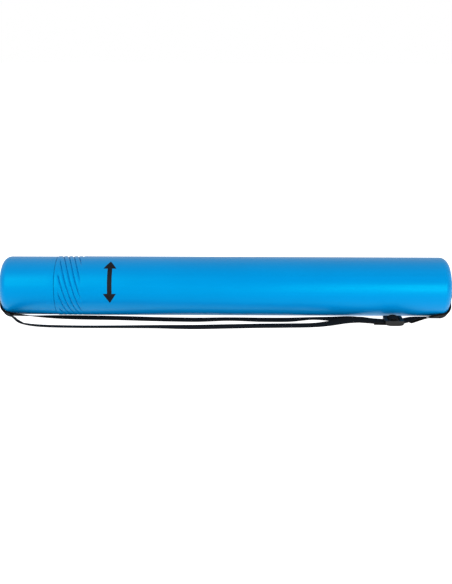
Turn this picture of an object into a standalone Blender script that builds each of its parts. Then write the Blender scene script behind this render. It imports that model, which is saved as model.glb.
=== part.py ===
"""Telescopic hard case: a blue plastic tube pair with a black webbing shoulder strap.

The case lies on its side along X. Its origin is on the surface it lies on, under the middle of the tube.
Looking along +Y shows its front: the head with the swivel strap lug is at -X, the closed base at +X.
"""

import math

import bmesh
import bpy
from mathutils import Vector

MM = 0.001

# Driving dimensions of the tubes.
TUBE_RADIUS = 45.0 * MM
HALF_LENGTH = 338.0 * MM
SEAM_X = -254.7 * MM
SEAM_GAP = 0.4 * MM
WALL = 1.6 * MM
END_WALL = 2.2 * MM
EDGE_RADIUS = 12.0 * MM
HEAD_RADIUS = 44.4 * MM
LIP_LENGTH = 6.0 * MM
INNER_RADIUS = 40.8 * MM
INNER_WALL = 1.4 * MM
INNER_TAIL_X = 240.0 * MM
INNER_ROOT_X = -330.0 * MM
TAIL_BEAD_HEIGHT = 0.3 * MM
FIT_GAP = 0.3 * MM
TUBE_SEGMENTS = 60
ARC_STEPS = 4

# A shallow round recess in each end face, which the strap lug's flange sits in.
RECESS_RADIUS = 16.0 * MM
RECESS_DEPTH = 0.4 * MM

# The twist grip: helical flutes moulded into the wall of the outer tube behind its mouth.
FLUTE_COUNT = 10
FLUTE_START_X = -250.7 * MM
FLUTE_END_X = -213.2 * MM
FLUTE_LEAD = 77.0 * MM
FLUTE_DEPTH = 2.0 * MM
FLUTE_RUN_IN = 2.5 * MM
FLUTE_FADE = 8.0 * MM
FLUTE_PHASE = math.radians(45)
FLUTE_ROWS = 11

# Strap lugs, one snapped into each end wall. They reach out by LUG_REACH.
LUG_FLANGE_RADIUS = 14.0 * MM
LUG_FLANGE_HEIGHT = 2.0 * MM
LUG_SINK = 0.3 * MM
LUG_REACH = 9.0 * MM
LUG_BAR = 3.0 * MM
LUG_BAR_WIDTH = 8.0 * MM
LUG_WIDTH = 26.0 * MM
LUG_SLOT_WIDTH = 20.0 * MM
STEM_RADIUS = 6.0 * MM
STEM_LENGTH = 6.0 * MM
CLIP_RADIUS = 11.0 * MM
CLIP_THICKNESS = 1.6 * MM
LUG_SEGMENTS = 32

# Webbing and the slide adjuster on it.
WEBBING_WIDTH = 18.0 * MM
WEBBING_THICKNESS = 1.2 * MM
PULL_ANGLE = math.radians(36)
INNER_LAYER = 1.0 * MM
OUTER_LAYER = 2.6 * MM
LOOP_END_X = -40.0
SPLIT_X = 50.0
ROUTE_STEPS = 4
BAR_STEPS = 6
STRAND_GAP = 1.0 * MM
ADJUSTER_CENTRE = (251.5, -42.0)
ADJUSTER_LENGTH = 28.0 * MM
ADJUSTER_WIDTH = 26.0 * MM
ADJUSTER_SLOT_WIDTH = 19.6 * MM
ADJUSTER_BAR = 5.0 * MM
ADJUSTER_BOTTOM = 4.9 * MM
ADJUSTER_THICKNESS = 3.2 * MM
RAIL_LENGTH = 27.2 * MM
RAIL_INNER, RAIL_OUTER = 9.9 * MM, 13.4 * MM
RAIL_BOTTOM, RAIL_TOP = 0.5 * MM, 7.8 * MM
RAIL_SHOULDER = 3.6 * MM

AXIS_POINT = Vector((0, 0, TUBE_RADIUS))

# Routes of the webbing's middle line over the ground in front of the tube, in millimetres, with the tilt of
# the webbing's front edge in degrees. Each is listed from its -X end.
UPPER_ROUTE = [
    (-312, -26.0, 5.9, 28),
    (-290, -24.5, 3.7, 17),
    (-262, -22.8, 2.0, 6),
    (-225, -22.3, 1.0, 0),
    (-165, -24.5, 0.9, 0),
    (-110, -28.6, 0.9, 0),
    (-80, -30.2, 0.9, 0),
    (LOOP_END_X, -31.0, 0.9, 0),
]
LOWER_ROUTE = [
    (-322, -33.5, 7.5, 29),
    (-311, -48.2, 6.2, 22),
    (-297, -61.5, 4.7, 16),
    (-268, -67.5, 3.4, 11),
    (-215, -69.0, 2.8, 10),
    (-160, -68.0, 2.6, 9),
    (-105, -66.0, 2.2, 6),
    (-70, -64.5, 1.4, 2),
    (LOOP_END_X, -63.0, 0.9, 0),
]
MIDDLE_UPPER_ROUTE = [
    (LOOP_END_X, -31.0, 0.9, 0),
    (5, -30.0, 1.8, 4),
    (SPLIT_X, -30.0, 0.9, 0),
]
MIDDLE_LOWER_ROUTE = [
    (LOOP_END_X, -63.0, 0.9, 0),
    (5, -60.0, 0.9, 0),
    (SPLIT_X, -57.0, 0.9, 0),
]
SEWN_ROUTE = [
    (SPLIT_X, -30.0, 0.9, 0),
    (95, -29.5, 0.9, 0),
    (130, -27.5, 2.4, 8),
    (160, -29.0, 2.2, 0),
    (186, -34.0, 3.2, -9),
    (206, -38.5, 3.0, -8),
    (223.5, -41.6, 2.4, -1),
    (238.5, -42, 2.1, 0),
    (242.9, -42, 2.0, 0),
    (246.3, -42, 3.3, 0),
    (247.0, -42, 5.5, 0),
    (247.7, -42, 7.9, 0),
    (249.5, -42, 9.0, 0),
    (253.5, -42, 9.0, 0),
    (255.3, -42, 7.9, 0),
    (255.9, -42, 5.6, 0),
    (254.7, -42, 3.8, 0),
    (251.7, -42, 3.4, 0),
    (248.9, -42, 2.4, 0),
    (246.1, -42, 1.1, 0),
    (240.5, -42, 0.8, 0),
    (222, -41.8, 0.8, 0),
]
RUNNING_ROUTE = [
    (SPLIT_X, -57.0, 0.9, 0),
    (90, -55.5, 0.9, 0),
    (130, -53.0, 0.9, 0),
    (156, -49.5, 2.2, -3),
    (180, -45.0, 4.6, -9),
    (202, -42.3, 5.0, -9),
    (221.5, -42, 3.9, -1),
    (236.5, -42, 3.9, 0),
    (240.8, -42, 3.95, 0),
    (243.6, -42, 4.7, 0),
    (244.0, -42, 6.2, 0),
    (245.3, -42, 9.2, 0),
    (248.1, -42, 10.6, 0),
    (251.3, -42, 10.7, 0),
]
TAIL_ROUTE = [
    (251.7, -42, 10.7, 0),
    (254.9, -42, 10.6, 0),
    (257.7, -42, 9.2, 0),
    (258.9, -42, 6.2, 0),
    (259.4, -42, 4.1, 0),
    (262.1, -42, 3.2, 0),
    (268, -41.2, 3.3, -3),
    (282, -35.6, 4.4, -3),
    (300, -29.9, 5.4, 9),
    (317, -27.4, 7.2, 29),
]
TAIL_RETURN_ROUTE = [
    (275, -38.3, 0.9, 0),
    (288, -33.5, 1.8, 2),
    (302, -29.2, 3.5, 13),
    (317, -27.8, 5.4, 29),
]


def clear_scene():
    for obj in list(bpy.data.objects):
        bpy.data.objects.remove(obj, do_unlink=True)


def material(name, color, roughness):
    made = bpy.data.materials.new(name)
    made.use_nodes = True
    shader = made.node_tree.nodes["Principled BSDF"]
    shader.inputs["Base Color"].default_value = (*color, 1.0)
    shader.inputs["Roughness"].default_value = roughness
    shader.inputs["Metallic"].default_value = 0.0
    return made


def add_object(name, bm, look, origin=(0, 0, 0), smooth_degrees=30):
    """Makes the named object from a bmesh in world space, with its origin moved to the given point."""
    bmesh.ops.recalc_face_normals(bm, faces=bm.faces)
    mesh = bpy.data.meshes.new(name)
    bm.to_mesh(mesh)
    bm.free()
    obj = bpy.data.objects.new(name, mesh)
    bpy.context.scene.collection.objects.link(obj)
    for vertex in mesh.vertices:
        vertex.co -= Vector(origin)
    obj.location = origin
    mesh.shade_smooth()
    mesh.set_sharp_from_angle(angle=math.radians(smooth_degrees))
    mesh.materials.append(look)
    return obj


def around_axis(x, radius, angle):
    """A point at an angle about the tube's axis: 0 faces the front, and a quarter turn faces up."""
    return Vector((x, -radius * math.cos(angle), TUBE_RADIUS + radius * math.sin(angle)))


def smoothstep(value):
    t = min(1.0, max(0.0, value))
    return t * t * (3 - 2 * t)


def flute_depth(x, angle):
    """How far the wall is pressed in at a place on the twist grip."""
    turned = angle - FLUTE_PHASE + 2 * math.pi * (x - FLUTE_START_X) / FLUTE_LEAD
    share = (turned * FLUTE_COUNT / (2 * math.pi)) % 1.0
    valley = max(0.0, math.cos(2 * math.pi * share)) ** 2
    run_in = smoothstep((x - FLUTE_START_X) / FLUTE_RUN_IN)
    fade = smoothstep((FLUTE_END_X - x) / FLUTE_FADE)
    return FLUTE_DEPTH * valley * run_in * fade


def turned_shell(name, profile, look, segments, pressed=None):
    """Turns a closed outline of (x, radius) points about the tube's axis into one closed shell."""
    bm = bmesh.new()
    rings = []
    for x, radius in profile:
        ring = []
        for i in range(segments):
            angle = 2 * math.pi * i / segments
            depth = pressed(x, angle) if pressed else 0.0
            ring.append(bm.verts.new(around_axis(x, radius - depth, angle)))
        rings.append(ring)
    for k, ring in enumerate(rings):
        other = rings[(k + 1) % len(rings)]
        for i in range(segments):
            j = (i + 1) % segments
            bm.faces.new((ring[i], ring[j], other[j], other[i]))
    return add_object(name, bm, look, origin=AXIS_POINT)


def rounded_end(end_x, side, radius, edge):
    """Points of a quarter round from the tube's side onto the end face at side times end_x."""
    points = []
    for k in range(ARC_STEPS + 1):
        turn = math.pi / 2 * k / ARC_STEPS
        x = end_x - edge + edge * math.sin(turn)
        points.append((side * x, radius - edge + edge * math.cos(turn)))
    return points


def cup_profile(mouth_points, side, radius, wall, inner_mouth_points):
    """The outline of a round cup: outside from its mouth to the stem hole, and back on the inside."""
    hole = STEM_RADIUS + FIT_GAP
    recess_x = HALF_LENGTH - RECESS_DEPTH
    recess = [
        (side * HALF_LENGTH, RECESS_RADIUS),
        (side * recess_x, RECESS_RADIUS - RECESS_DEPTH),
        (side * recess_x, hole),
    ]
    outside = rounded_end(HALF_LENGTH, side, radius, EDGE_RADIUS)
    inside = rounded_end(HALF_LENGTH - END_WALL, side, radius - wall, EDGE_RADIUS - wall)
    outer_line = mouth_points + outside + recess
    inner_line = [(side * (HALF_LENGTH - END_WALL), hole)] + inside[::-1] + inner_mouth_points
    return outer_line + inner_line


def make_outer_tube(look):
    """The long tube: fluted behind its mouth, closed by its rounded base at +X."""
    step = (FLUTE_END_X - SEAM_X) / FLUTE_ROWS
    rows = [SEAM_X + step * k for k in range(FLUTE_ROWS + 1)]
    outside = [(x, TUBE_RADIUS) for x in rows]
    inside = [(x, TUBE_RADIUS - WALL) for x in reversed(rows)]
    profile = cup_profile(outside, 1, TUBE_RADIUS, WALL, inside)
    turned_shell("outer_tube", profile, look, TUBE_SEGMENTS, pressed=flute_depth)


def make_head_cap(look):
    """The head: a cup with a rounded end at -X and a lip that holds the inner tube."""
    mouth_x = SEAM_X - SEAM_GAP
    lip_radius = INNER_RADIUS + FIT_GAP
    inside = [
        (mouth_x - LIP_LENGTH, HEAD_RADIUS - WALL),
        (mouth_x - LIP_LENGTH, lip_radius),
        (mouth_x, lip_radius),
    ]
    profile = cup_profile([(mouth_x, HEAD_RADIUS)], -1, HEAD_RADIUS, WALL, inside)
    turned_shell("head_cap", profile, look, TUBE_SEGMENTS)


def make_inner_tube(look):
    """The sliding tube, open at its tail, with a stop bead there and its root inside the head."""
    bore = INNER_RADIUS - INNER_WALL
    bead = INNER_RADIUS + TAIL_BEAD_HEIGHT
    profile = [
        (INNER_ROOT_X, INNER_RADIUS),
        (INNER_TAIL_X - 9 * MM, INNER_RADIUS),
        (INNER_TAIL_X - 7 * MM, bead),
        (INNER_TAIL_X - 4 * MM, bead),
        (INNER_TAIL_X - 2 * MM, INNER_RADIUS),
        (INNER_TAIL_X, INNER_RADIUS),
        (INNER_TAIL_X, bore),
        (INNER_ROOT_X, bore),
    ]
    turned_shell("inner_tube", profile, look, TUBE_SEGMENTS)


def pull_direction():
    """The way the webbing leaves a lug: down the end face and a little to the front."""
    return Vector((0, -math.sin(PULL_ANGLE), -math.cos(PULL_ANGLE)))


def across_direction():
    return Vector((0, math.cos(PULL_ANGLE), -math.sin(PULL_ANGLE)))


def end_point(side, reach, along, across=0.0):
    """A point at an end of the case: reach beyond the end face, and along and across the strap's pull."""
    place = AXIS_POINT + pull_direction() * along + across_direction() * across
    return Vector((side * (HALF_LENGTH + reach), place.y, place.z))


def round_post(bm, side, radius, low, high):
    """A closed cylinder on the tube's axis, from reach low to reach high."""
    rings = []
    for reach in (low, high):
        ring = []
        for i in range(LUG_SEGMENTS):
            turn = 2 * math.pi * i / LUG_SEGMENTS
            place = end_point(side, reach, radius * math.cos(turn), radius * math.sin(turn))
            ring.append(bm.verts.new(place))
        rings.append(ring)
    bm.faces.new(rings[0])
    bm.faces.new(rings[1])
    for i in range(LUG_SEGMENTS):
        j = (i + 1) % LUG_SEGMENTS
        bm.faces.new((rings[0][i], rings[0][j], rings[1][j], rings[1][i]))


def bridge_outline():
    """The bridge seen along the pull, as one arch: (across, reach) points round its outside and slot."""
    half, slot = LUG_WIDTH / 2, LUG_SLOT_WIDTH / 2
    foot = LUG_FLANGE_HEIGHT - 1.0 * MM
    chamfer = 1.2 * MM
    return [
        (-half, foot),
        (-half, LUG_REACH - chamfer),
        (-half + chamfer, LUG_REACH),
        (half - chamfer, LUG_REACH),
        (half, LUG_REACH - chamfer),
        (half, foot),
        (slot, foot),
        (slot, LUG_REACH - LUG_BAR),
        (-slot, LUG_REACH - LUG_BAR),
        (-slot, foot),
    ]


def make_lug(name, side, look):
    """A strap lug: a round flange on the end face, a bridge that the webbing passes under, and a stem."""
    bm = bmesh.new()
    layers = []
    for along in (-LUG_BAR_WIDTH / 2, LUG_BAR_WIDTH / 2):
        arch = [end_point(side, reach, along, across) for across, reach in bridge_outline()]
        layers.append([bm.verts.new(place) for place in arch])
    bm.faces.new(layers[0])
    bm.faces.new(layers[1])
    for i in range(len(layers[0])):
        j = (i + 1) % len(layers[0])
        bm.faces.new((layers[0][i], layers[0][j], layers[1][j], layers[1][i]))
    lug = add_object(name, bm, look)
    for part, radius, low, high in (
        ("flange", LUG_FLANGE_RADIUS, LUG_SINK, LUG_FLANGE_HEIGHT),
        ("stem", STEM_RADIUS, -END_WALL - STEM_LENGTH, LUG_SINK + 0.5 * MM),
    ):
        post = bmesh.new()
        round_post(post, side, radius, low, high)
        tool = add_object(f"{name}_{part}", post, look)
        tool.hide_render = True
        tool.display_type = "WIRE"
        union = lug.modifiers.new(part, "BOOLEAN")
        union.operation = "UNION"
        union.solver = "EXACT"
        union.object = tool


def make_clip(name, side, look):
    """The snap washer on a lug's stem, behind the end wall."""
    near = HALF_LENGTH - END_WALL - FIT_GAP
    far = near - CLIP_THICKNESS
    bore = STEM_RADIUS + FIT_GAP
    profile = [
        (side * near, CLIP_RADIUS),
        (side * near, bore),
        (side * far, bore),
        (side * far, CLIP_RADIUS),
    ]
    turned_shell(name, profile, look, LUG_SEGMENTS)


def catmull_rom(points, steps):
    """A smooth line through tuples of numbers, with this many steps between two of them."""
    ends = [points[0]] + list(points) + [points[-1]]
    line = []
    for k in range(1, len(ends) - 2):
        window = ends[k - 1 : k + 3]
        for s in range(steps):
            line.append(tuple(eased_value(values, s / steps) for values in zip(*window)))
    line.append(tuple(points[-1]))
    return line


def eased_value(values, t):
    """The Catmull-Rom value at t between the second and the third of four values."""
    a, b, c, d = values
    square = (2 * a - 5 * b + 4 * c - d) * t * t
    cube = (3 * b - a - 3 * c + d) * t**3
    return 0.5 * (2 * b + (c - a) * t + square + cube)


def ground_line(route):
    """A route in millimetres and degrees as (point, tilt) pairs in metres and radians."""
    line = []
    for x, y, z, tilt in catmull_rom(route, ROUTE_STEPS):
        line.append((Vector((x, y, z)) * MM, math.radians(tilt)))
    return line


def end_layer(side, layer, lug_points):
    """Webbing from the lug outwards over the end face, then round the rim onto the tube's side."""
    line = [(end_point(side, reach * MM, along * MM), PULL_ANGLE) for along, reach in lug_points]
    edge_start = TUBE_RADIUS - EDGE_RADIUS
    for k in range(BAR_STEPS + 1):
        turn = math.pi / 2 * k / BAR_STEPS
        reach = (EDGE_RADIUS + layer) * math.cos(turn) - EDGE_RADIUS
        along = edge_start + (EDGE_RADIUS + layer) * math.sin(turn)
        line.append((end_point(side, reach, along), PULL_ANGLE))
    return line


def lug_loop(side):
    """The webbing at a lug: in from the tube's side, round the bar, and out to the side again."""
    bar_middle = LUG_REACH - LUG_BAR / 2
    wrap = LUG_BAR / 2 + WEBBING_THICKNESS / 2 + FIT_GAP
    low, high = bar_middle - wrap, bar_middle + wrap
    inner_run = [(0, low / MM), (6, low / MM), (14, 4.2), (20, 1.8), (26, 1.0)]
    outer_run = [(0, high / MM), (6, high / MM), (15, 6.8), (23, 3.6), (29, 2.6)]
    bend = []
    for k in range(BAR_STEPS + 1):
        turn = math.pi * k / BAR_STEPS
        along = -LUG_BAR_WIDTH / 2 - wrap * math.sin(turn)
        bend.append((end_point(side, bar_middle - wrap * math.cos(turn), along), PULL_ANGLE))
    inner = end_layer(side, INNER_LAYER, inner_run)
    outer = end_layer(side, OUTER_LAYER, outer_run)
    return inner[::-1] + bend + outer


def make_webbing(name, line, look):
    """A flat strap swept along (point, tilt) pairs; tilt lifts its front edge."""
    bm = bmesh.new()
    sections = []
    for k, (point, tilt) in enumerate(line):
        ahead = line[min(k + 1, len(line) - 1)][0] - line[max(k - 1, 0)][0]
        wide = Vector((0, math.cos(tilt), -math.sin(tilt)))
        along = ahead.normalized()
        wide = (wide - along * wide.dot(along)).normalized()
        thick = along.cross(wide)
        a = wide * WEBBING_WIDTH / 2
        b = thick * WEBBING_THICKNESS / 2
        sections.append([bm.verts.new(point + v) for v in (a + b, b - a, -a - b, a - b)])
    for near, far in zip(sections, sections[1:]):
        for i in range(4):
            j = (i + 1) % 4
            bm.faces.new((near[i], near[j], far[j], far[i]))
    bm.faces.new(sections[0])
    bm.faces.new(sections[-1])
    return add_object(name, bm, look)


def make_strap(look):
    """The webbing: the loop through the head's lug, both strands to the adjuster, and the tail."""
    loop = ground_line(UPPER_ROUTE)[::-1] + lug_loop(-1) + ground_line(LOWER_ROUTE)
    make_webbing("strap_loop", loop, look)
    make_webbing("strap_middle_upper", cut_start(ground_line(MIDDLE_UPPER_ROUTE)), look)
    make_webbing("strap_middle_lower", cut_start(ground_line(MIDDLE_LOWER_ROUTE)), look)
    make_webbing("strap_sewn_end", cut_start(ground_line(SEWN_ROUTE)), look)
    make_webbing("strap_running", cut_start(ground_line(RUNNING_ROUTE)), look)
    tail = ground_line(TAIL_ROUTE) + lug_loop(1) + ground_line(TAIL_RETURN_ROUTE)[::-1]
    make_webbing("strap_tail", tail, look)


def cut_start(line):
    """Moves a strand's first point by the gap that two lengths of webbing keep where they meet."""
    first, tilt = line[0]
    return [(first + Vector((STRAND_GAP, 0, 0)), tilt)] + line[1:]


def add_rail(bm, centre_x, near_y, far_y):
    """A side rail of the adjuster: a plate on edge whose lower side bellies down to the floor."""
    half = RAIL_LENGTH / 2
    outline = [
        (-half, RAIL_TOP),
        (-half, RAIL_SHOULDER),
        (-half * 0.7, RAIL_BOTTOM + 0.6 * MM),
        (-half * 0.3, RAIL_BOTTOM),
        (half * 0.3, RAIL_BOTTOM),
        (half * 0.7, RAIL_BOTTOM + 0.6 * MM),
        (half, RAIL_SHOULDER),
        (half, RAIL_TOP),
    ]
    sides = [[bm.verts.new((centre_x + x, y, z)) for x, z in outline] for y in (near_y, far_y)]
    bm.faces.new(sides[0])
    bm.faces.new(sides[1])
    for i in range(len(outline)):
        j = (i + 1) % len(outline)
        bm.faces.new((sides[0][i], sides[0][j], sides[1][j], sides[1][i]))


def make_adjuster(look):
    """The slide adjuster: a frame with two slots and a middle bar, on two deep side rails."""
    bm = bmesh.new()
    x0, y0 = (value * MM for value in ADJUSTER_CENTRE)
    half_x, half_y = ADJUSTER_LENGTH / 2, ADJUSTER_WIDTH / 2
    slot_y = ADJUSTER_SLOT_WIDTH / 2
    xs = [-half_x, -half_x + ADJUSTER_BAR]
    xs += [-ADJUSTER_BAR / 2, ADJUSTER_BAR / 2]
    xs += [half_x - ADJUSTER_BAR, half_x]
    ys = [-half_y, -slot_y, slot_y, half_y]
    levels = [ADJUSTER_BOTTOM, ADJUSTER_BOTTOM + ADJUSTER_THICKNESS]
    grid = {}
    for i, x in enumerate(xs):
        for j, y in enumerate(ys):
            for k, z in enumerate(levels):
                grid[i, j, k] = bm.verts.new((x0 + x, y0 + y, z))
    holes = {(1, 1), (3, 1)}
    cells = {(i, j) for i in range(5) for j in range(3)} - holes
    for i, j in sorted(cells):
        for k in (0, 1):
            bm.faces.new((grid[i, j, k], grid[i + 1, j, k], grid[i + 1, j + 1, k], grid[i, j + 1, k]))
        sides = {
            (i - 1, j): ((i, j), (i, j + 1)),
            (i + 1, j): ((i + 1, j), (i + 1, j + 1)),
            (i, j - 1): ((i, j), (i + 1, j)),
            (i, j + 1): ((i, j + 1), (i + 1, j + 1)),
        }
        for neighbour, (p, q) in sides.items():
            if neighbour not in cells:
                bm.faces.new((grid[(*p, 0)], grid[(*q, 0)], grid[(*q, 1)], grid[(*p, 1)]))
    frame = add_object("adjuster", bm, look, origin=(x0, y0, ADJUSTER_BOTTOM))
    for name, near, far in (("front", -RAIL_OUTER, -RAIL_INNER), ("back", RAIL_INNER, RAIL_OUTER)):
        rail = bmesh.new()
        add_rail(rail, x0, y0 + near, y0 + far)
        tool = add_object(f"adjuster_{name}_rail", rail, look)
        tool.hide_render = True
        tool.display_type = "WIRE"
        union = frame.modifiers.new(name, "BOOLEAN")
        union.operation = "UNION"
        union.solver = "EXACT"
        union.object = tool


def main():
    clear_scene()
    blue = material("blue_plastic", (0.0, 0.33, 0.78), 0.35)
    inner_blue = material("inner_tube_plastic", (0.0, 0.25, 0.62), 0.42)
    webbing = material("black_webbing", (0.012, 0.012, 0.014), 0.85)
    black = material("black_plastic", (0.02, 0.02, 0.022), 0.4)
    make_outer_tube(blue)
    make_head_cap(blue)
    make_inner_tube(inner_blue)
    for end, side in (("head", -1), ("base", 1)):
        make_lug(f"{end}_lug", side, blue)
        make_clip(f"{end}_lug_clip", side, black)
    make_adjuster(black)
    make_strap(webbing)


main()
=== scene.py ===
"""Looks of the telescopic rod case: blue plastic tubes, a webbing strap with its adjuster, and the studio.

Lengths are in metres. The case lies along X on the floor at Z = 0. Its strap lies in front of it,
towards -Y.
"""

import math

import bmesh
import bpy
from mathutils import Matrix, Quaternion, Vector


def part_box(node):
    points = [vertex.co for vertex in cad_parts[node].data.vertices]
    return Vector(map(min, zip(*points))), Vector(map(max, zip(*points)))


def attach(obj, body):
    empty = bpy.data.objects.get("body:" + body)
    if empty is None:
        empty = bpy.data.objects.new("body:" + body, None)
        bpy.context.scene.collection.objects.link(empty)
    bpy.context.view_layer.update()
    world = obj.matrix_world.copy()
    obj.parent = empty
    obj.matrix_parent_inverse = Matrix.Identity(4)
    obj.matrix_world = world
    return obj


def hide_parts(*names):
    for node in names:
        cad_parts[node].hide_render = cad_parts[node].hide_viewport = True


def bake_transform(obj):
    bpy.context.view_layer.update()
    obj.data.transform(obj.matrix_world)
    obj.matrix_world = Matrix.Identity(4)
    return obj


MM = 0.001

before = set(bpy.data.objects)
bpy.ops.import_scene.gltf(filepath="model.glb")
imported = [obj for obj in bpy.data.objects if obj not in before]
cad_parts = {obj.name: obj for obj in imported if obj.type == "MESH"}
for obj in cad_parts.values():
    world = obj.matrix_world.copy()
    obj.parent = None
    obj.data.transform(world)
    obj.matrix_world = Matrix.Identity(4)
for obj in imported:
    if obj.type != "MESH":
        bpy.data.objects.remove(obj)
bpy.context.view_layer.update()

# The frame's own sizes.
tube_low, tube_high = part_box("outer_tube")
head_low, head_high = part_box("head_cap")
inner_low, inner_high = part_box("inner_tube")
adjuster_low, adjuster_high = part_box("adjuster")
TUBE_RADIUS = (tube_high.y - tube_low.y) / 2
HEAD_RADIUS = (head_high.y - head_low.y) / 2
MOUTH_X, BASE_X = tube_low.x, tube_high.x
HEAD_MOUTH_X = head_high.x
AXIS_POINT = Vector((0, 0, TUBE_RADIUS))

# Walls and roundings of the tubes.
WALL = 1.6 * MM
END_WALL = 2.2 * MM
EDGE_RADIUS = 12.0 * MM
LIP_LENGTH = 6.0 * MM
INNER_RADIUS = 40.8 * MM
INNER_WALL = 1.4 * MM
RING_HEIGHT = 0.25 * MM
RING_WIDTH = 3.0 * MM
RING_PITCH = 50.0 * MM
FIT_GAP = 0.3 * MM
MOUTH_ROUND = 0.7 * MM
CHAMFER = 0.3 * MM
RECESS_RADIUS = 16.0 * MM
RECESS_DEPTH = 0.4 * MM
END_GROOVE_RADIUS = 29.0 * MM
END_GROOVE_DEPTH = 0.4 * MM
END_GROOVE_WIDTH = 1.6 * MM
ARC_STEPS = 12
TUBE_SEGMENTS = 300

# The twist grip: helical flutes with a thin valley between rounded ridges.
FLUTE_COUNT = 10
FLUTE_START_X = MOUTH_X + 4.0 * MM
FLUTE_END_X = MOUTH_X + 41.8 * MM
FLUTE_LEAD = 77.0 * MM
FLUTE_DEPTH = 2.3 * MM
FLUTE_RUN_IN = 3.0 * MM
FLUTE_FADE = 7.0 * MM
FLUTE_PHASE = math.radians(45)
FLUTE_ROWS = 96

# Strap lugs.
LUG_FLANGE_RADIUS = 14.0 * MM
LUG_FLANGE_HEIGHT = 2.0 * MM
LUG_SINK = 0.3 * MM
LUG_REACH = 9.0 * MM
LUG_BAR = 3.0 * MM
LUG_BAR_WIDTH = 8.0 * MM
LUG_WIDTH = 26.0 * MM
LUG_SLOT_WIDTH = 20.0 * MM
LUG_ROUND = 0.7 * MM
STEM_RADIUS = 6.0 * MM
STEM_LENGTH = 6.0 * MM
LUG_SEGMENTS = 64

# The slide adjuster: a slotted plate, and two side rails that start RAIL_INNER out from its middle.
ADJUSTER_PLATE = 3.2 * MM
ADJUSTER_BAR = 5.0 * MM
ADJUSTER_SLOT = 19.6 * MM
ADJUSTER_CORNER = 3.5 * MM
RAIL_INNER = 9.9 * MM
RAIL_SHOULDER = 3.6 * MM

# Webbing. INNER_LAYER and OUTER_LAYER are the heights of its two layers over the rounded rim.
WEBBING_WIDTH = 18.0 * MM
WEBBING_THICKNESS = 1.2 * MM
WEBBING_RIBS = 13
RIB_HEIGHT = 0.08 * MM
WEBBING_STEP = 2.0 * MM
PULL_ANGLE = math.radians(36)
INNER_LAYER = 1.0 * MM
OUTER_LAYER = 2.6 * MM
SPLIT_X = 50.0
ROUTE_STEPS = 12
BAR_STEPS = 14
STITCH_LENGTH = 2.2 * MM
STITCH_RADIUS = 0.28 * MM
STITCH_GAP = 0.12

# Where the two ends are sewn down: from and to along the sewn end, and from the end of the tail.
SEWN_BOX = (171 * MM, 186 * MM)
TAIL_BOX_LENGTH = 18 * MM
TAIL_BOX_MARGIN = 4 * MM

# The webbing's routes in front of the tube, in millimetres, with the tilt of its front edge in degrees.
UPPER_ROUTE = [
    (-312, -26.0, 5.9, 28),
    (-290, -24.5, 3.7, 17),
    (-262, -22.8, 2.0, 6),
    (-225, -22.3, 1.0, 0),
    (-165, -24.5, 0.9, 0),
    (-110, -28.6, 0.9, 0),
    (-80, -30.2, 0.9, 0),
    (-40, -31.0, 0.9, 0),
    (5, -30.0, 1.8, 4),
    (SPLIT_X, -30.0, 0.9, 0),
]
LOWER_ROUTE = [
    (-322, -33.5, 7.5, 29),
    (-311, -48.2, 6.2, 22),
    (-297, -61.5, 4.7, 16),
    (-268, -67.5, 3.4, 11),
    (-215, -69.0, 2.8, 10),
    (-160, -68.0, 2.6, 9),
    (-105, -66.0, 2.2, 6),
    (-70, -64.5, 1.4, 2),
    (-40, -63.0, 0.9, 0),
    (5, -60.0, 0.9, 0),
    (SPLIT_X, -57.0, 0.9, 0),
]
SEWN_ROUTE = [
    (SPLIT_X, -30.0, 0.9, 0),
    (95, -29.5, 0.9, 0),
    (130, -27.5, 2.4, 8),
    (160, -28.3, 2.3, 0),
    (186, -31.8, 3.3, -8),
    (206, -36.6, 3.4, -8),
    (223.5, -40.8, 2.7, -2),
    (238.5, -42, 2.1, 0),
    (242.9, -42, 2.0, 0),
    (246.3, -42, 3.3, 0),
    (247.0, -42, 5.5, 0),
    (247.7, -42, 7.9, 0),
    (249.5, -42, 9.0, 0),
    (253.5, -42, 9.0, 0),
    (255.3, -42, 7.9, 0),
    (255.9, -42, 5.6, 0),
    (254.7, -42, 3.8, 0),
    (251.7, -42, 3.4, 0),
    (248.9, -42, 2.4, 0),
    (246.1, -42, 1.1, 0),
    (240.5, -42, 0.8, 0),
    (222, -41.0, 0.8, 0),
]
RUNNING_ROUTE = [
    (SPLIT_X, -57.0, 0.9, 0),
    (90, -55.5, 0.9, 0),
    (130, -53.0, 0.9, 0),
    (156, -48.6, 2.3, -3),
    (180, -43.0, 4.9, -9),
    (202, -40.2, 5.3, -9),
    (221.5, -41.3, 4.3, -2),
    (236.5, -42, 3.9, 0),
    (240.8, -42, 3.95, 0),
    (243.6, -42, 4.7, 0),
    (244.0, -42, 6.2, 0),
    (245.3, -42, 9.2, 0),
    (248.1, -42, 10.6, 0),
    (251.5, -42, 10.7, 0),
]
TAIL_ROUTE = [
    (251.5, -42, 10.7, 0),
    (254.9, -42, 10.6, 0),
    (257.7, -42, 9.2, 0),
    (258.9, -42, 6.2, 0),
    (259.4, -42, 4.1, 0),
    (262.1, -42, 3.2, 0),
    (268, -39.4, 3.6, -2),
    (282, -31.5, 4.6, 5),
    (300, -28.2, 5.6, 16),
    (317, -27.4, 7.2, 29),
]
TAIL_RETURN_ROUTE = [
    (275, -35.8, 0.9, 0),
    (288, -30.0, 1.9, 5),
    (302, -28.0, 3.7, 17),
    (317, -27.8, 5.4, 29),
]


# ---------------------------------------------------------------- camera

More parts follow.
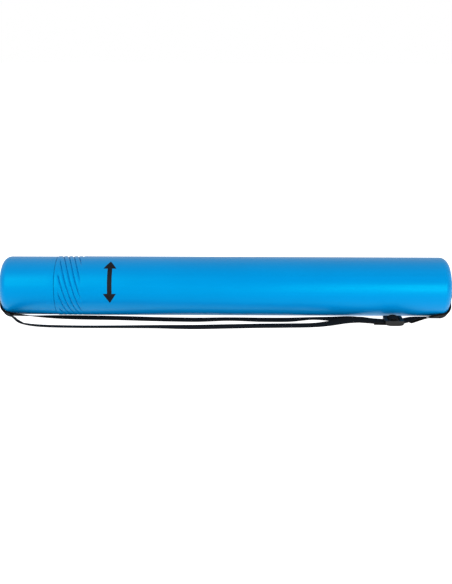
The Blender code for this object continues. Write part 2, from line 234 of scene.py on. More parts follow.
def make_camera():
    """A look at the front of the case from a little above, with the whole case across the width."""
    distance, elevation, lens = 1.25, math.radians(17), 50.24
    lean = math.radians(0.22)
    towards = Vector((0, -math.cos(elevation), math.sin(elevation)))
    data = bpy.data.cameras.new("camera")
    camera = bpy.data.objects.new("camera", data)
    bpy.context.scene.collection.objects.link(camera)
    camera.location = AXIS_POINT + towards * distance
    camera.rotation_mode = "QUATERNION"
    level = (-towards).to_track_quat("-Z", "Y")
    camera.rotation_quaternion = level @ Quaternion((0, 0, 1), lean)
    data.lens = lens
    data.sensor_width = 36.0
    data.shift_x = 0.0006
    data.shift_y = -0.0103
    data.clip_end = 50.0
    bpy.context.scene.camera = camera


# ---------------------------------------------------------------- materials

class Nodes:
    """Short ways to add shader nodes to one material."""

    def __init__(self, name):
        self.material = bpy.data.materials.new(name)
        self.material.use_nodes = True
        self.tree = self.material.node_tree
        self.shader = self.tree.nodes["Principled BSDF"]
        self.place = self.tree.nodes.new("ShaderNodeTexCoord")

    def link(self, output, target):
        self.tree.links.new(output, target)

    def mapped(self, scale, source="Object"):
        mapping = self.tree.nodes.new("ShaderNodeMapping")
        mapping.inputs["Scale"].default_value = scale
        self.link(self.place.outputs[source], mapping.inputs["Vector"])
        return mapping.outputs["Vector"]

    def noise(self, scale, detail=3.0, source="Object"):
        texture = self.tree.nodes.new("ShaderNodeTexNoise")
        texture.inputs["Scale"].default_value = 1.0
        texture.inputs["Detail"].default_value = detail
        self.link(self.mapped(scale, source), texture.inputs["Vector"])
        return texture.outputs["Fac"]

    def ramp(self, factor, stops):
        node = self.tree.nodes.new("ShaderNodeValToRGB")
        elements = node.color_ramp.elements
        while len(elements) < len(stops):
            elements.new(0.5)
        for element, (position, color) in zip(elements, stops):
            element.position = position
            element.color = (*color, 1.0)
        self.link(factor, node.inputs["Fac"])
        return node.outputs["Color"]

    def span(self, factor, low, high):
        node = self.tree.nodes.new("ShaderNodeMapRange")
        node.inputs["From Min"].default_value = 0.3
        node.inputs["From Max"].default_value = 0.7
        node.inputs["To Min"].default_value = low
        node.inputs["To Max"].default_value = high
        self.link(factor, node.inputs["Value"])
        return node.outputs["Result"]

    def math(self, operation, *values):
        node = self.tree.nodes.new("ShaderNodeMath")
        node.operation = operation
        for socket, value in zip(node.inputs, values):
            if isinstance(value, (int, float)):
                socket.default_value = value
            else:
                self.link(value, socket)
        return node.outputs["Value"]

    def multiply_colors(self, a, b):
        node = self.tree.nodes.new("ShaderNodeMix")
        node.data_type = "RGBA"
        node.blend_type = "MULTIPLY"
        node.inputs["Factor"].default_value = 1.0
        self.link(a, node.inputs["A"])
        self.link(b, node.inputs["B"])
        return node.outputs["Result"]

    def bump(self, height, distance, strength, below=None):
        node = self.tree.nodes.new("ShaderNodeBump")
        node.inputs["Distance"].default_value = distance
        node.inputs["Strength"].default_value = strength
        self.link(height, node.inputs["Height"])
        if below is not None:
            self.link(below, node.inputs["Normal"])
        return node.outputs["Normal"]


def grey(value):
    return (value, value, value)


def moulded_plastic(name, color, deep, roughness, streak, sheen=(1.0, 1.0, 1.0), gloss=0.5):
    """Moulded plastic: drawn out along X, with faint streaks, a soft mottle and a fine satin skin."""
    n = Nodes(name)
    mottle = n.noise((9.0, 14.0, 14.0), detail=4.0)
    streaks = n.noise((2.5, 420.0, 420.0), detail=2.0)
    skin = n.noise((900.0, 900.0, 900.0), detail=2.0)
    base = n.ramp(mottle, [(0.25, deep), (0.75, color)])
    lines = n.ramp(streaks, [(0.3, grey(1.0 - streak)), (0.7, grey(1.0))])
    n.link(n.multiply_colors(base, lines), n.shader.inputs["Base Color"])
    wear = n.noise((6.0, 160.0, 160.0), detail=3.0)
    n.link(n.span(wear, roughness - 0.05, roughness + 0.06), n.shader.inputs["Roughness"])
    lined = n.bump(streaks, 0.05 * MM, 0.25)
    n.link(n.bump(skin, 0.03 * MM, 0.12, below=lined), n.shader.inputs["Normal"])
    n.shader.inputs["IOR"].default_value = 1.43
    n.shader.inputs["Specular IOR Level"].default_value = gloss
    n.shader.inputs["Specular Tint"].default_value = (*sheen, 1.0)
    return n.material


def webbing_material():
    """Black polyester webbing: a plain weave of flat yarns, in the strap's own length and width."""
    n = Nodes("black_webbing")
    split = n.tree.nodes.new("ShaderNodeSeparateXYZ")
    n.link(n.mapped((1.0, 1.0, 1.0), source="UV"), split.inputs["Vector"])
    across = n.math("MULTIPLY", split.outputs["X"], 2 * math.pi / (1.4 * MM))
    along = n.math("MULTIPLY", split.outputs["Y"], 2 * math.pi / (1.8 * MM))
    warp = n.math("SINE", n.math("ADD", across, n.math("MULTIPLY", n.math("SINE", along), 0.6)))
    weft = n.math("SINE", along)
    weave = n.math("MULTIPLY_ADD", n.math("MULTIPLY", warp, weft), 0.5, 0.5)
    fuzz = n.noise((2600.0, 700.0, 1.0), detail=3.0, source="UV")
    worn = n.noise((60.0, 25.0, 1.0), detail=3.0, source="UV")
    yarns = n.ramp(weave, [(0.15, (0.001, 0.001, 0.0012)), (0.85, (0.006, 0.006, 0.007))])
    dust = n.ramp(worn, [(0.3, grey(0.75)), (0.75, grey(1.0))])
    n.link(n.multiply_colors(yarns, dust), n.shader.inputs["Base Color"])
    n.link(n.span(fuzz, 0.72, 0.9), n.shader.inputs["Roughness"])
    woven = n.bump(weave, 0.25 * MM, 0.7)
    n.link(n.bump(fuzz, 0.06 * MM, 0.4, below=woven), n.shader.inputs["Normal"])
    n.shader.inputs["Specular IOR Level"].default_value = 0.12
    return n.material


def thread_material():
    """Twisted black sewing thread, a shade lighter than the webbing."""
    n = Nodes("black_thread")
    twist = n.noise((1500.0, 1500.0, 1500.0), detail=2.0)
    color = n.ramp(twist, [(0.3, (0.003, 0.003, 0.0035)), (0.7, (0.02, 0.02, 0.022))])
    n.link(color, n.shader.inputs["Base Color"])
    n.link(n.span(twist, 0.5, 0.7), n.shader.inputs["Roughness"])
    n.link(n.bump(twist, 0.1 * MM, 0.5), n.shader.inputs["Normal"])
    return n.material


def ink_material():
    """Screen-printed black ink with a slightly uneven edge-to-edge cover."""
    n = Nodes("printed_ink")
    cover = n.noise((500.0, 500.0, 500.0), detail=3.0)
    color = n.ramp(cover, [(0.3, (0.001, 0.001, 0.002)), (0.75, (0.004, 0.005, 0.007))])
    n.link(color, n.shader.inputs["Base Color"])
    n.link(n.span(cover, 0.5, 0.62), n.shader.inputs["Roughness"])
    n.shader.inputs["Specular IOR Level"].default_value = 0.1
    return n.material


def floor_material():
    """A pale sweep that is lit softly from below as well, as a light table is."""
    n = Nodes("pale_floor")
    soft = n.noise((3.0, 3.0, 3.0), detail=3.0)
    n.link(n.ramp(soft, [(0.2, grey(0.3)), (0.8, grey(0.33))]), n.shader.inputs["Base Color"])
    n.shader.inputs["Roughness"].default_value = 0.9
    n.shader.inputs["Specular IOR Level"].default_value = 0.1
    n.shader.inputs["Emission Color"].default_value = (1.0, 1.0, 1.0, 1.0)
    n.shader.inputs["Emission Strength"].default_value = 1.15
    return n.material


# ---------------------------------------------------------------- mesh helpers

def finish_mesh(name, bm, look, smooth_degrees=35):
    """Makes an object of the mesh, with its faces outwards and its edges sharp above the angle."""
    bmesh.ops.recalc_face_normals(bm, faces=bm.faces)
    mesh = bpy.data.meshes.new(name)
    bm.to_mesh(mesh)
    bm.free()
    obj = bpy.data.objects.new(name, mesh)
    bpy.context.scene.collection.objects.link(obj)
    mesh.shade_smooth()
    mesh.set_sharp_from_angle(angle=math.radians(smooth_degrees))
    mesh.materials.append(look)
    return obj


def apply_modifiers(obj, smooth_degrees=35):
    """Keeps the object's evaluated mesh and drops its modifiers."""
    graph = bpy.context.evaluated_depsgraph_get()
    mesh = bpy.data.meshes.new_from_object(obj.evaluated_get(graph))
    obj.modifiers.clear()
    obj.data = mesh
    mesh.shade_smooth()
    mesh.set_sharp_from_angle(angle=math.radians(smooth_degrees))


def smoothstep(value):
    t = min(1.0, max(0.0, value))
    return t * t * (3 - 2 * t)


def around_axis(x, radius, angle):
    """A point at an angle about the tube's axis: 0 faces the front, and a quarter turn faces up."""
    return Vector((x, -radius * math.cos(angle), TUBE_RADIUS + radius * math.sin(angle)))


def flute_depth(x, angle):
    """How far the wall is pressed in at a place on the twist grip."""
    if not FLUTE_START_X < x < FLUTE_END_X:
        return 0.0
    wound = angle - FLUTE_PHASE + 2 * math.pi * (x - FLUTE_START_X) / FLUTE_LEAD
    share = (wound * FLUTE_COUNT / (2 * math.pi)) % 1.0
    from_ridge = abs(2 * share - 1)
    valley = 0.2 * from_ridge**2 + 0.8 * from_ridge**6
    run_in = smoothstep((x - FLUTE_START_X) / FLUTE_RUN_IN)
    fade = smoothstep((FLUTE_END_X - x) / FLUTE_FADE)
    return FLUTE_DEPTH * valley * run_in * fade


def turned(name, profile, look, pressed=None):
    """Turns a closed outline of (x, radius) points about the tube's axis."""
    bm = bmesh.new()
    rings = []
    for x, radius in profile:
        ring = []
        for i in range(TUBE_SEGMENTS):
            angle = 2 * math.pi * i / TUBE_SEGMENTS
            depth = pressed(x, angle) if pressed else 0.0
            ring.append(bm.verts.new(around_axis(x, radius - depth, angle)))
        rings.append(ring)
    for k, ring in enumerate(rings):
        other = rings[(k + 1) % len(rings)]
        for i in range(TUBE_SEGMENTS):
            j = (i + 1) % TUBE_SEGMENTS
            bm.faces.new((ring[i], ring[j], other[j], other[i]))
    return finish_mesh(name, bm, look, smooth_degrees=50)


def quarter(centre, radius, start_degrees, end_degrees, steps=ARC_STEPS):
    """Points of an arc in the (x, radius) plane."""
    points = []
    for k in range(steps + 1):
        turn = math.radians(start_degrees + (end_degrees - start_degrees) * k / steps)
        points.append((centre[0] + radius * math.cos(turn), centre[1] + radius * math.sin(turn)))
    return points


def end_outline(radius, reach, edge):
    """A closed end seen from the side, at +X: the rounded edge, and on the flat a shallow ring groove."""
    points = quarter((reach - edge, radius - edge), edge, 90, 0)
    half = END_GROOVE_WIDTH / 2
    for offset, share in ((half, 0), (half * 0.5, 0.8), (0, 1), (-half * 0.5, 0.8), (-half, 0)):
        points.append((reach - END_GROOVE_DEPTH * share, END_GROOVE_RADIUS + offset))
    lip = 0.3 * MM
    points += quarter((reach - lip, RECESS_RADIUS + lip), lip, 0, -90, 3)
    points.append((reach - RECESS_DEPTH, RECESS_RADIUS - 0.1 * MM))
    points.append((reach - RECESS_DEPTH, STEM_RADIUS + FIT_GAP))
    return points


def inside_end_outline(radius, reach, edge):
    """The same end seen from inside: flat, with a rounded corner."""
    return [(reach, STEM_RADIUS + FIT_GAP)] + quarter((reach - edge, radius - edge), edge, 0, 90)


# ---------------------------------------------------------------- tubes

def make_outer_tube(look):
    """The long tube, with a rolled mouth, the twist grip and its closed base."""
    step = (FLUTE_END_X + 2 * MM - FLUTE_START_X) / FLUTE_ROWS
    rows = [FLUTE_START_X + step * k for k in range(FLUTE_ROWS + 1)]
    straight = [rows[-1] + (BASE_X - EDGE_RADIUS - rows[-1]) * k / 8 for k in range(1, 8)]
    outside = quarter((MOUTH_X + MOUTH_ROUND, TUBE_RADIUS - MOUTH_ROUND), MOUTH_ROUND, 180, 90, 5)
    outside += [(x, TUBE_RADIUS) for x in rows + straight]
    outside += end_outline(TUBE_RADIUS, BASE_X, EDGE_RADIUS)
    bore = TUBE_RADIUS - WALL
    inside = inside_end_outline(bore, BASE_X - END_WALL, EDGE_RADIUS - WALL)
    inside += [(x, bore) for x in reversed(rows[::2] + straight)]
    inside.append((MOUTH_X + CHAMFER, bore))
    inside.append((MOUTH_X, bore + CHAMFER))
    tube = turned("outer_tube_shell", outside + inside, look, pressed=flute_depth)
    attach(tube, "outer_tube")
    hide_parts("outer_tube")


def make_head(look):
    """The head: a smooth cup with a rounded end and a lip round the inner tube."""
    reach = -head_low.x
    mouth = -HEAD_MOUTH_X
    outline = quarter((mouth + MOUTH_ROUND, HEAD_RADIUS - MOUTH_ROUND), MOUTH_ROUND, 180, 90, 5)
    outline += [(mouth + (reach - EDGE_RADIUS - mouth) * k / 6, HEAD_RADIUS) for k in range(1, 6)]
    outline += end_outline(HEAD_RADIUS, reach, EDGE_RADIUS)
    outline += inside_end_outline(HEAD_RADIUS - WALL, reach - END_WALL, EDGE_RADIUS - WALL)
    outline += [
        (mouth + LIP_LENGTH, HEAD_RADIUS - WALL),
        (mouth + LIP_LENGTH, INNER_RADIUS + FIT_GAP),
        (mouth + CHAMFER, INNER_RADIUS + FIT_GAP),
        (mouth, INNER_RADIUS + FIT_GAP + CHAMFER),
    ]
    head = turned("head_shell", [(-x, radius) for x, radius in outline], look)
    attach(head, "head")
    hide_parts("head_cap")


def make_inner_tube(look):
    """The sliding tube: low rings mark its length, and a bead stops it at the tail."""
    bore = INNER_RADIUS - INNER_WALL
    outline = [(inner_low.x, bore), (inner_low.x, INNER_RADIUS)]
    ring_x = HEAD_MOUTH_X + RING_PITCH
    while ring_x < inner_high.x - RING_PITCH / 2:
        for k in range(9):
            swell = math.sin(math.pi * k / 8) ** 2
            outline.append((ring_x + RING_WIDTH * (k / 8 - 0.5), INNER_RADIUS + RING_HEIGHT * swell))
        ring_x += RING_PITCH
    bead_start, bead_width, bead_height = inner_high.x - 9 * MM, 7 * MM, 0.3 * MM
    for k in range(11):
        swell = math.sin(math.pi * k / 10) ** 0.6 if 0 < k < 10 else 0.0
        outline.append((bead_start + bead_width * k / 10, INNER_RADIUS + bead_height * swell))
    tail_round, chamfer = 0.6 * MM, 0.4 * MM
    outline += quarter((inner_high.x - tail_round, INNER_RADIUS - tail_round), tail_round, 90, 0, 4)
    outline += [(inner_high.x, bore + chamfer), (inner_high.x - chamfer, bore)]
    tube = turned("inner_tube_shell", outline, look)
    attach(tube, "head")
    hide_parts("inner_tube")


# ---------------------------------------------------------------- strap lugs

def pull_direction():
    """The way the webbing leaves a lug: down the end face and a little to the front."""
    return Vector((0, -math.sin(PULL_ANGLE), -math.cos(PULL_ANGLE)))


def across_direction():
    """The way across the webbing as it leaves a lug."""
    return Vector((0, math.cos(PULL_ANGLE), -math.sin(PULL_ANGLE)))


def end_point(side, reach, along, across=0.0):
    """A point at an end of the case: reach beyond the end face, and along and across the strap's pull."""
    place = AXIS_POINT + pull_direction() * along + across_direction() * across
    return Vector((side * (BASE_X + reach), place.y, place.z))


def lug_post(side, look):
    """The lug's round flange and its stem as one turned solid."""
    tip, chamfer = -END_WALL - STEM_LENGTH, 0.6 * MM
    outline = [
        (tip, 0.0),
        (tip, STEM_RADIUS - chamfer),
        (tip + chamfer, STEM_RADIUS),
        (LUG_SINK, STEM_RADIUS),
        (LUG_SINK, LUG_FLANGE_RADIUS - CHAMFER),
    ]
    top = (LUG_FLANGE_HEIGHT - LUG_ROUND, LUG_FLANGE_RADIUS - LUG_ROUND)
    for k in range(7):
        turn = math.pi / 2 * k / 6
        outline.append((top[0] + LUG_ROUND * math.sin(turn), top[1] + LUG_ROUND * math.cos(turn)))
    outline.append((LUG_FLANGE_HEIGHT, 0.0))
    bm = bmesh.new()
    rings = []
    for reach, radius in outline:
        if radius == 0.0:
            rings.append([bm.verts.new(end_point(side, reach, 0.0))])
            continue
        ring = []
        for i in range(LUG_SEGMENTS):
            turn = 2 * math.pi * i / LUG_SEGMENTS
            along, across = radius * math.cos(turn), radius * math.sin(turn)
            ring.append(bm.verts.new(end_point(side, reach, along, across)))
        rings.append(ring)
    for near, far in zip(rings, rings[1:]):
        for i in range(LUG_SEGMENTS):
            j = (i + 1) % LUG_SEGMENTS
            corners = [near[0]] if len(near) == 1 else [near[i], near[j]]
            corners += [far[0]] if len(far) == 1 else [far[j], far[i]]
            bm.faces.new(corners)
    return finish_mesh("lug_post", bm, look)


def lug_bridge(name, side, look):
    """The bridge that the webbing passes under, with every edge rounded."""
    half, slot = LUG_WIDTH / 2, LUG_SLOT_WIDTH / 2
    foot = LUG_FLANGE_HEIGHT - 1.0 * MM
    outline = [
        (-half, foot),
        (-half, LUG_REACH),
        (half, LUG_REACH),
        (half, foot),
        (slot, foot),
        (slot, LUG_REACH - LUG_BAR),
        (-slot, LUG_REACH - LUG_BAR),
        (-slot, foot),
    ]
    bm = bmesh.new()
    layers = []
    for along in (-LUG_BAR_WIDTH / 2, LUG_BAR_WIDTH / 2):
        layers.append([bm.verts.new(end_point(side, reach, along, across)) for across, reach in outline])
    bm.faces.new(layers[0])
    bm.faces.new(layers[1])
    for i in range(len(outline)):
        j = (i + 1) % len(outline)
        bm.faces.new((layers[0][i], layers[0][j], layers[1][j], layers[1][i]))
    bridge = finish_mesh(name, bm, look)
    bevel = bridge.modifiers.new("rounding", "BEVEL")
    bevel.width = LUG_ROUND
    bevel.segments = 4
    bevel.limit_method = "ANGLE"
    apply_modifiers(bridge)
    return bridge


def make_lug(node, side, body, look):
    """A strap lug on the end at this side: the bridge and the post joined into one moulding."""
    lug = lug_bridge(f"{node}_moulding", side, look)
    post = lug_post(side, look)
    union = lug.modifiers.new("union", "BOOLEAN")
    union.operation = "UNION"
    union.solver = "EXACT"
    union.object = post
    apply_modifiers(lug, smooth_degrees=40)
    bpy.data.objects.remove(post)
    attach(lug, body)
    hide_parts(node)


# ---------------------------------------------------------------- webbing

def catmull_rom(points, steps):
    """A smooth line through tuples of numbers, with this many steps between two of them."""
    ends = [points[0]] + list(points) + [points[-1]]
    line = []
    for k in range(1, len(ends) - 2):
        window = ends[k - 1 : k + 3]
        for s in range(steps):
            line.append(tuple(eased_value(values, s / steps) for values in zip(*window)))
    line.append(tuple(points[-1]))
    return line


def eased_value(values, t):
    """The Catmull-Rom value at t between the second and the third of four values."""
    a, b, c, d = values
    square = (2 * a - 5 * b + 4 * c - d) * t * t
    cube = (3 * b - a - 3 * c + d) * t**3
    return 0.5 * (2 * b + (c - a) * t + square + cube)


def ground_line(route):
    """A route in millimetres and degrees as (point, tilt) pairs in metres and radians."""
    line = []
    for x, y, z, tilt in catmull_rom(route, ROUTE_STEPS):
        line.append((Vector((x, y, z)) * MM, math.radians(tilt)))
    return line


def end_layer(side, layer, lug_points):
    """Webbing from the lug outwards, through (along, reach) points in millimetres, and round the rim."""
    line = [(end_point(side, reach * MM, along * MM), PULL_ANGLE) for along, reach in lug_points]
    edge_start = TUBE_RADIUS - EDGE_RADIUS
    for k in range(BAR_STEPS + 1):
        turn = math.pi / 2 * k / BAR_STEPS
        reach = (EDGE_RADIUS + layer) * math.cos(turn) - EDGE_RADIUS
        along = edge_start + (EDGE_RADIUS + layer) * math.sin(turn)
        line.append((end_point(side, reach, along), PULL_ANGLE))
    return line


def lug_layers(side):
    """The webbing at a lug: the inner layer, the bend round the bar and the outer layer."""
    bar_middle = LUG_REACH - LUG_BAR / 2
    wrap = LUG_BAR / 2 + WEBBING_THICKNESS / 2 + FIT_GAP
    low, high = bar_middle - wrap, bar_middle + wrap
    inner_run = [(0, low / MM), (6, low / MM), (14, 4.2), (20, 1.8), (26, INNER_LAYER / MM)]
    outer_run = [(0, high / MM), (6, high / MM), (15, 6.8), (23, 3.6), (29, OUTER_LAYER / MM)]
    inner = end_layer(side, INNER_LAYER, inner_run)
    outer = end_layer(side, OUTER_LAYER, outer_run)
    bend = []
    for k in range(BAR_STEPS + 1):
        turn = math.pi * k / BAR_STEPS
        along = -LUG_BAR_WIDTH / 2 - wrap * math.sin(turn)
        bend.append((end_point(side, bar_middle - wrap * math.cos(turn), along), PULL_ANGLE))
    return inner, bend, outer


def evened(line, step):
    """The line with points a step apart, eased a little so that no joint between its stretches shows."""
    lengths = [0.0]
    for (a, _), (b, _) in zip(line, line[1:]):
        lengths.append(lengths[-1] + (b - a).length)
    count = max(2, round(lengths[-1] / step))
    spaced, k = [], 0
    for i in range(count + 1):
        want = lengths[-1] * i / count
        while k < len(line) - 2 and lengths[k + 1] < want:
            k += 1
        share = (want - lengths[k]) / max(lengths[k + 1] - lengths[k], 1e-9)
        (a, tilt_a), (b, tilt_b) = line[k], line[k + 1]
        spaced.append((a.lerp(b, share), tilt_a + (tilt_b - tilt_a) * share))
    for _ in range(2):
        eased = [spaced[0]]
        for (a, tilt_a), (b, tilt_b), (c, tilt_c) in zip(spaced, spaced[1:], spaced[2:]):
            eased.append((b * 0.5 + (a + c) * 0.25, tilt_b * 0.5 + (tilt_a + tilt_c) * 0.25))
        spaced = eased + [spaced[-1]]
    return spaced


def webbing_section():
    """The webbing's cross-section as (across, up): low lengthwise ribs, and rounded selvedges."""
    half, thick = WEBBING_WIDTH / 2, WEBBING_THICKNESS / 2
    edge = thick * 0.85
    count = 4 * WEBBING_RIBS
    top = []
    for k in range(count + 1):
        across = -half + edge + (WEBBING_WIDTH - 2 * edge) * k / count
        rib = 0.5 - 0.5 * math.cos(2 * math.pi * k / 4)
        top.append((across, thick - RIB_HEIGHT * (1 - rib)))
    selvedge = []
    for degrees in (40, 65, 90, 115, 140):
        turn = math.radians(degrees)
        selvedge.append((half - edge + edge * math.sin(turn), edge * math.cos(turn)))
    right = top + selvedge
    return right + [(-across, -up) for across, up in right]


def section_frames(line):
    """For each point of a line: the point, the webbing's width direction and its thickness direction."""
    frames = []
    for k, (point, tilt) in enumerate(line):
        along = (line[min(k + 1, len(line) - 1)][0] - line[max(k - 1, 0)][0]).normalized()
        wide = Vector((0, math.cos(tilt), -math.sin(tilt)))
        wide = (wide - along * wide.dot(along)).normalized()
        frames.append((point, wide, along.cross(wide)))
    return frames


def make_webbing(name, line, look):
    """A ribbed flat strap swept along the line, with its length and width as UVs in metres."""
    bm = bmesh.new()
    uv_layer = bm.loops.layers.uv.new("webbing")
    section = webbing_section()
    frames = section_frames(line)
    rows, lengths = [], [0.0]
    for k, (point, wide, thick) in enumerate(frames):
        rows.append([bm.verts.new(point + wide * across + thick * up) for across, up in section])
        if k:
            lengths.append(lengths[-1] + (point - frames[k - 1][0]).length)
    for k, (near, far) in enumerate(zip(rows, rows[1:])):
        for i in range(len(section)):
            j = (i + 1) % len(section)
            face = bm.faces.new((near[i], near[j], far[j], far[i]))
            for loop, (column, row) in zip(face.loops, ((i, k), (j, k), (j, k + 1), (i, k + 1))):
                loop[uv_layer].uv = (section[column][0], lengths[row])
    for row, place in ((rows[0], 0.0), (rows[-1], lengths[-1])):
        cap = bm.faces.new(row)
        for loop, (across, up) in zip(cap.loops, section):
            loop[uv_layer].uv = (across, place + up)
    return finish_mesh(name, bm, look, smooth_degrees=60)


def stitches(name, line, runs, lift, look):
    """Thread on the webbing: each run is (start, end, across at the start, across at the end)."""
    frames = section_frames(line)
    lengths = [0.0]
    for (a, _, _), (b, _, _) in zip(frames, frames[1:]):
        lengths.append(lengths[-1] + (b - a).length)

    def place(distance, across):
        k = max(i for i in range(len(lengths) - 1) if lengths[i] <= distance)
        share = (distance - lengths[k]) / (lengths[k + 1] - lengths[k])
        (a, wide_a, thick_a), (b, wide_b, thick_b) = frames[k], frames[k + 1]
        wide = wide_a.lerp(wide_b, share).normalized()
        thick = thick_a.lerp(thick_b, share).normalized()
        return a.lerp(b, share) + wide * across + thick * lift, thick

    bm = bmesh.new()
    for start, end, across_start, across_end in runs:
        total = math.hypot(end - start, across_end - across_start)
        count = max(1, round(total / STITCH_LENGTH))
        for i in range(count):
            low, high = (i + STITCH_GAP) / count, (i + 1 - STITCH_GAP) / count
            p, up = place(start + (end - start) * low, across_start + (across_end - across_start) * low)
            q, _ = place(start + (end - start) * high, across_start + (across_end - across_start) * high)
            add_stitch(bm, p, q, up)
    return finish_mesh(name, bm, look, smooth_degrees=80)


def add_stitch(bm, p, q, up):
    """One stitch: a small arched bead of thread from p to q."""
    along = (q - p).normalized()
    side = along.cross(up).normalized()
    steps, sides = 4, 6
    rings = []
    for k in range(steps + 1):
        t = k / steps
        swell = 0.45 + 0.55 * math.sin(math.pi * t)
        centre = p.lerp(q, t) + up * (STITCH_RADIUS * 0.5 * math.sin(math.pi * t))
        ring = []
        for i in range(sides):
            turn = 2 * math.pi * i / sides
            offset = side * math.cos(turn) + up * math.sin(turn)
            ring.append(bm.verts.new(centre + offset * STITCH_RADIUS * swell))
        rings.append(ring)
    for near, far in zip(rings, rings[1:]):
        for i in range(sides):
            j = (i + 1) % sides
            bm.faces.new((near[i], near[j], far[j], far[i]))
    bm.faces.new(rings[0])
    bm.faces.new(rings[-1])


def boxed_cross(start, end):
    """A sewn box with a cross in it, between two places along the webbing."""
    edge = WEBBING_WIDTH / 2 - 2.6 * MM
    return [
        (start, end, -edge, -edge),
        (start, end, edge, edge),
        (start, start, -edge, edge),
        (end, end, -edge, edge),
        (start, end, -edge, edge),
        (start, end, edge, -edge),
    ]


def line_length(line):
    return sum((b - a).length for (a, _), (b, _) in zip(line, line[1:]))


def make_strap(look, thread, adjuster):
    """The strap in its lengths: the loop at the head's lug, two strands to the adjuster, and the tail."""
    inner, bend, outer = lug_layers(-1)
    loop_line = ground_line(UPPER_ROUTE)[::-1] + inner[::-1] + bend + outer + ground_line(LOWER_ROUTE)
    loop_line = evened(loop_line, WEBBING_STEP)
    loop = make_webbing("webbing_loop", loop_line, look)
    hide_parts("strap_loop", "strap_middle_upper", "strap_middle_lower")
    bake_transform(loop)

    sewn_line = evened(ground_line(SEWN_ROUTE), 1.0 * MM)
    sewn = make_webbing("webbing_sewn_end", sewn_line, look)
    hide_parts("strap_sewn_end")
    sewn_box = boxed_cross(*SEWN_BOX)
    bar_tack = stitches("sewn_end_stitches", sewn_line, sewn_box, WEBBING_THICKNESS / 2, thread)
    for piece in (sewn, bar_tack):
        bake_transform(piece)

    running_line = evened(ground_line(RUNNING_ROUTE), 1.0 * MM)
    running = make_webbing("webbing_running_strand", running_line, look)
    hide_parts("strap_running")
    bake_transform(running)

    inner, bend, outer = lug_layers(1)
    middle = len(bend) // 2
    tail_line = evened(ground_line(TAIL_ROUTE) + inner[::-1] + bend[: middle + 1], 1.0 * MM)
    back_line = evened(bend[middle:] + outer + ground_line(TAIL_RETURN_ROUTE)[::-1], 1.0 * MM)
    tail = make_webbing("webbing_tail", tail_line, look)
    back = make_webbing("webbing_tail_return", back_line, look)
    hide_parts("strap_tail")
    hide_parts("strap_tail")
    full = line_length(back_line)
    tail_box = boxed_cross(full - TAIL_BOX_LENGTH - TAIL_BOX_MARGIN, full - TAIL_BOX_MARGIN)
    tail_tack = stitches("tail_stitches", back_line, tail_box, -WEBBING_THICKNESS / 2, thread)
    for piece in (tail, back, tail_tack):
        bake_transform(piece)


# ---------------------------------------------------------------- adjuster

def adjuster_frame(centre, half):
    """The adjuster's plate: round corners, and a slot either side of a middle bar."""
    bar, slot = ADJUSTER_BAR, ADJUSTER_SLOT / 2
    xs = [-half.x, -half.x + bar, -bar / 2, bar / 2, half.x - bar, half.x]
    ys = [-half.y, -slot, slot, half.y]
    low, high = adjuster_high.z - ADJUSTER_PLATE, adjuster_high.z
    cells = {(i, j) for i in range(5) for j in range(3)} - {(1, 1), (3, 1)}
    bm = bmesh.new()
    grid = {}
    for i, x in enumerate(xs):
        for j, y in enumerate(ys):
            for k, z in enumerate((low, high)):
                grid[i, j, k] = bm.verts.new((centre.x + x, centre.y + y, z))
    for i, j in sorted(cells):
        for k in (0, 1):
            bm.faces.new((grid[i, j, k], grid[i + 1, j, k], grid[i + 1, j + 1, k], grid[i, j + 1, k]))
        sides = {
            (i - 1, j): ((i, j), (i, j + 1)),
            (i + 1, j): ((i + 1, j), (i + 1, j + 1)),
            (i, j - 1): ((i, j), (i + 1, j)),
            (i, j + 1): ((i, j + 1), (i + 1, j + 1)),
        }
        for neighbour, (p, q) in sides.items():
            if neighbour not in cells:
                bm.faces.new((grid[(*p, 0)], grid[(*q, 0)], grid[(*q, 1)], grid[(*p, 1)]))
    bmesh.ops.recalc_face_normals(bm, faces=bm.faces)
    corners = [bm.edges.get((grid[i, j, 0], grid[i, j, 1])) for i in (0, 5) for j in (0, 3)]
    bmesh.ops.bevel(bm, geom=corners, offset=ADJUSTER_CORNER, segments=6, profile=0.5, affect="EDGES")
    return bm


def adjuster_rail(centre, half, side):
    """A side rail of the adjuster: a plate on edge whose lower side bellies down to the floor."""
    length, top = half.x - 0.4 * MM, adjuster_high.z - 0.3 * MM
    bottom = adjuster_low.z
    steps = 16
    outline = [(-length, top)]
    for k in range(steps + 1):
        share = 2 * k / steps - 1
        sag = (1 - abs(share) ** 3) ** 0.5
        outline.append((length * share, RAIL_SHOULDER + (bottom - RAIL_SHOULDER) * sag))
    outline.append((length, top))
    near, far = RAIL_INNER * side, (half.y - 0.05 * MM) * side
    bm = bmesh.new()
    sides = [[bm.verts.new((centre.x + x, centre.y + y, z)) for x, z in outline] for y in (near, far)]
    bm.faces.new(sides[0])
    bm.faces.new(sides[1])
    for k in range(len(outline)):
        m = (k + 1) % len(outline)
        bm.faces.new((sides[0][k], sides[0][m], sides[1][m], sides[1][k]))
    return bm


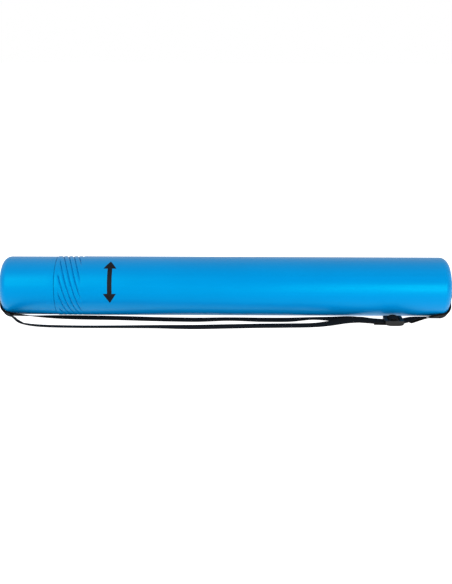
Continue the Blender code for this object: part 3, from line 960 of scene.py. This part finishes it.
def make_adjuster(look):
    """The slide adjuster: a rounded frame with two slots, carried by two deep side rails."""
    centre = (adjuster_low + adjuster_high) / 2
    half = (adjuster_high - adjuster_low) / 2
    obj = finish_mesh("adjuster_frame", adjuster_frame(centre, half), look)
    for side in (-1, 1):
        rail = finish_mesh("adjuster_rail", adjuster_rail(centre, half, side), look)
        join = obj.modifiers.new("rail", "BOOLEAN")
        join.operation = "UNION"
        join.solver = "EXACT"
        join.object = rail
        apply_modifiers(obj, smooth_degrees=45)
        bpy.data.objects.remove(rail, do_unlink=True)
    bevel = obj.modifiers.new("rounding", "BEVEL")
    bevel.width = 0.9 * MM
    bevel.segments = 4
    bevel.limit_method = "ANGLE"
    bevel.angle_limit = math.radians(40)
    apply_modifiers(obj, smooth_degrees=45)
    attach(obj, "adjuster")
    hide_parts("adjuster")
    return obj


# ---------------------------------------------------------------- print

def make_turn_arrow(look):
    """A plain printed double arrow round the tube, beside the twist grip."""
    middle_x, shaft, head_width = MOUTH_X + 82.5 * MM, 3.4 * MM, 9.6 * MM
    low, high = math.radians(-18), math.radians(70)
    head = math.radians(19)
    thickness, lift = 0.08 * MM, 0.04 * MM
    steps = 60

    def half_width(angle):
        from_tip = min(angle - low, high - angle)
        if from_tip < head:
            return max(0.15 * MM, head_width * from_tip / head)
        return shaft

    angles = [low + (high - low) * k / steps for k in range(steps + 1)]
    hair = 1e-4
    for shoulder in (low + head, high - head):
        angles += [shoulder - hair, shoulder + hair]
    bm = bmesh.new()
    rows = []
    corners = ((lift, -1), (lift, 1), (lift + thickness, 1), (lift + thickness, -1))
    for angle in sorted(angles):
        width = half_width(angle)
        row = []
        for height, share in corners:
            place = around_axis(middle_x + width * share, TUBE_RADIUS + height, angle)
            row.append(bm.verts.new(place))
        rows.append(row)
    for near, far in zip(rows, rows[1:]):
        for i in range(4):
            j = (i + 1) % 4
            bm.faces.new((near[i], near[j], far[j], far[i]))
    bm.faces.new(rows[0])
    bm.faces.new(rows[-1])
    arrow = finish_mesh("printed_turn_arrow", bm, look)
    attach(arrow, "outer_tube")


# ---------------------------------------------------------------- stage

def area_light(name, place, aim, size, power):
    """A soft rectangular light at a place, turned to its aim."""
    data = bpy.data.lights.new(name, "AREA")
    data.shape = "RECTANGLE"
    data.size, data.size_y = size
    data.energy = power
    light = bpy.data.objects.new(name, data)
    bpy.context.scene.collection.objects.link(light)
    light.location = place
    light.rotation_mode = "QUATERNION"
    light.rotation_quaternion = (Vector(aim) - Vector(place)).to_track_quat("-Z", "Y")


def make_stage():
    """The pale floor, the white surroundings and three soft lights."""
    bm = bmesh.new()
    bmesh.ops.create_grid(bm, x_segments=4, y_segments=4, size=12.0)
    floor = finish_mesh("floor", bm, floor_material())
    world = bpy.data.worlds.new("studio")
    bpy.context.scene.world = world
    world.use_nodes = True
    background = world.node_tree.nodes["Background"]
    background.inputs["Color"].default_value = (1.0, 1.0, 1.0, 1.0)
    background.inputs["Strength"].default_value = 1.0
    area_light("left", (-0.8, -1.24, 0.89), (-0.5, 0, 0.05), (0.7, 1.2), 15.5)
    area_light("right", (0.85, -1.5, 0.33), (0.6, 0, 0.05), (1.0, 0.6), 20.0)
    area_light("low", (0.0, -1.3, 0.1), (0.0, 0, 0.03), (2.2, 0.16), 2.0)
    bpy.context.scene.view_settings.view_transform = "Standard"


def main():
    make_camera()
    black = moulded_plastic("black_plastic", grey(0.009), grey(0.006), 0.42, 0.05, gloss=0.22)
    make_strap(webbing_material(), thread_material(), make_adjuster(black))
    sheen = (0.0, 1.0, 0.85)
    blue = moulded_plastic("blue_plastic", (0.0, 0.143, 0.37), (0.0, 0.131, 0.345), 0.35, 0.035, sheen)
    inner_blue = moulded_plastic(
        "inner_blue_plastic", (0.0, 0.14, 0.39), (0.0, 0.125, 0.36), 0.4, 0.08, sheen
    )
    make_outer_tube(blue)
    make_head(blue)
    make_inner_tube(inner_blue)
    make_lug("head_lug", -1, "head_lug", blue)
    make_lug("base_lug", 1, "outer_tube", blue)
    for node in ("head_lug_clip", "base_lug_clip"):
        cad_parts[node].data.materials.clear()
        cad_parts[node].data.materials.append(black)
    make_turn_arrow(ink_material())
    make_stage()


main()
